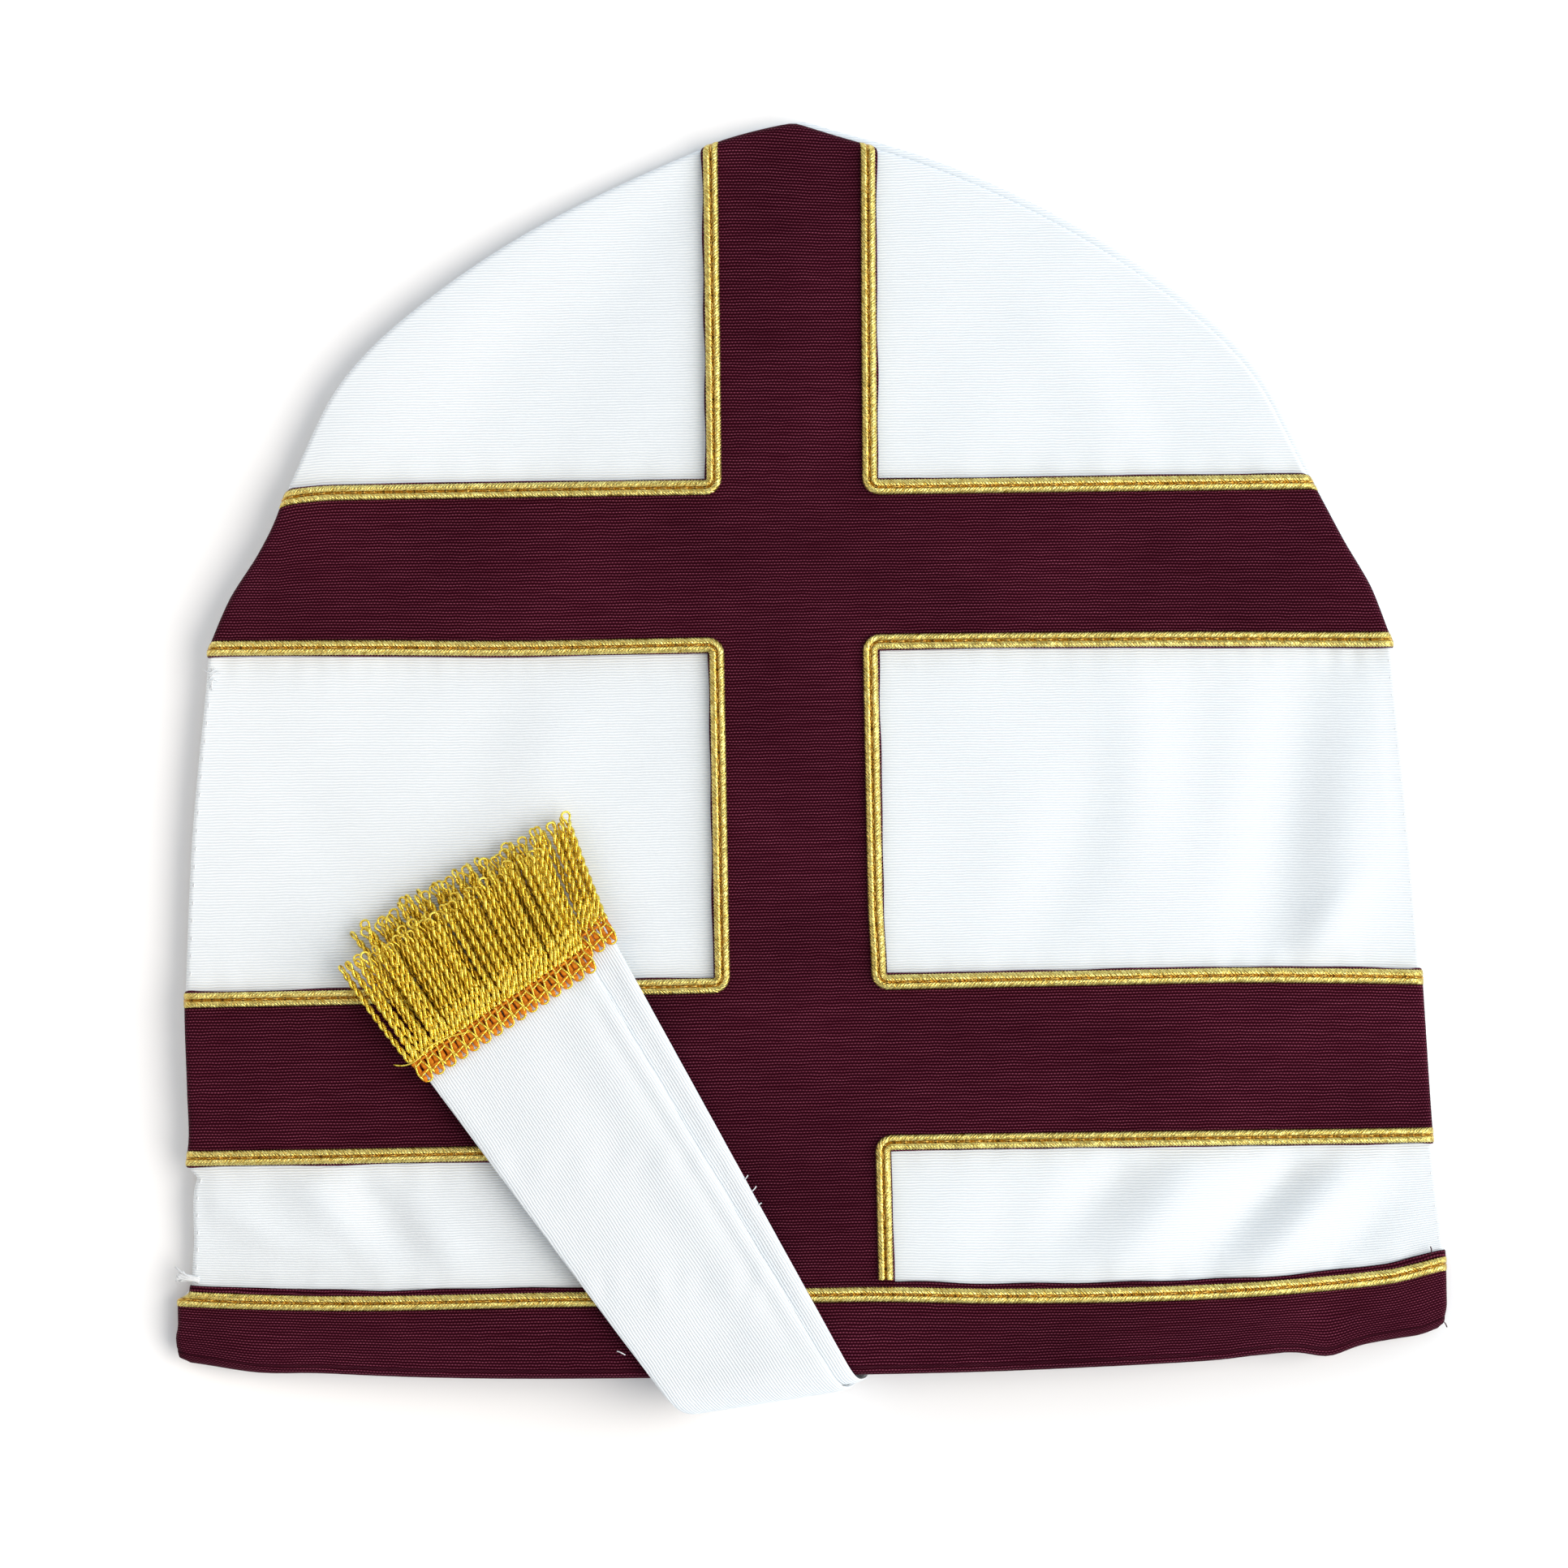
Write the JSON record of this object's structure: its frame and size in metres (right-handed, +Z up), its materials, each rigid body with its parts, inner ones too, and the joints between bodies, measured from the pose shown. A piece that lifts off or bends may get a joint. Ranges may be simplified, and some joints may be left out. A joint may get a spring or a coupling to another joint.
{
  "type": "mitre",
  "caption": "White ribbed cloth mitre with a burgundy cross, gold braid and a brow band, lying on its back with fringed lappets folded over the front.",
  "frame": {"origin": "on the surface that the mitre lies on, under the middle of its box", "axes": "+X to the right of the front, +Y towards the peak, +Z up out of the front"},
  "size_m": [0.3, 0.306, 0.0237],
  "materials": {
    "white_cloth": "white ottoman with fine ribs",
    "burgundy_cloth": "dark burgundy ottoman with fine ribs",
    "gold_braid": "soutache braid of gold metallic thread",
    "gold_fringe": "twisted gold loop fringe with an orange yarn heading"
  },
  "bodies": {
    "root": {"back_panel": "white_cloth", "front_panel": "white_cloth", "front_cross": "burgundy_cloth", "brow_band_front": "burgundy_cloth", "brow_band_back": "burgundy_cloth", "braid_upper_left": "gold_braid", "braid_upper_right": "gold_braid", "braid_middle_left": "gold_braid", "braid_middle_right": "gold_braid", "braid_lower_left": "gold_braid", "braid_lower_right": "gold_braid", "braid_brow": "gold_braid", "lappet_top": "white_cloth", "lappet_under": "white_cloth", "fringe_top": "gold_fringe", "fringe_under": "gold_fringe"}
  },
  "joints": []
}
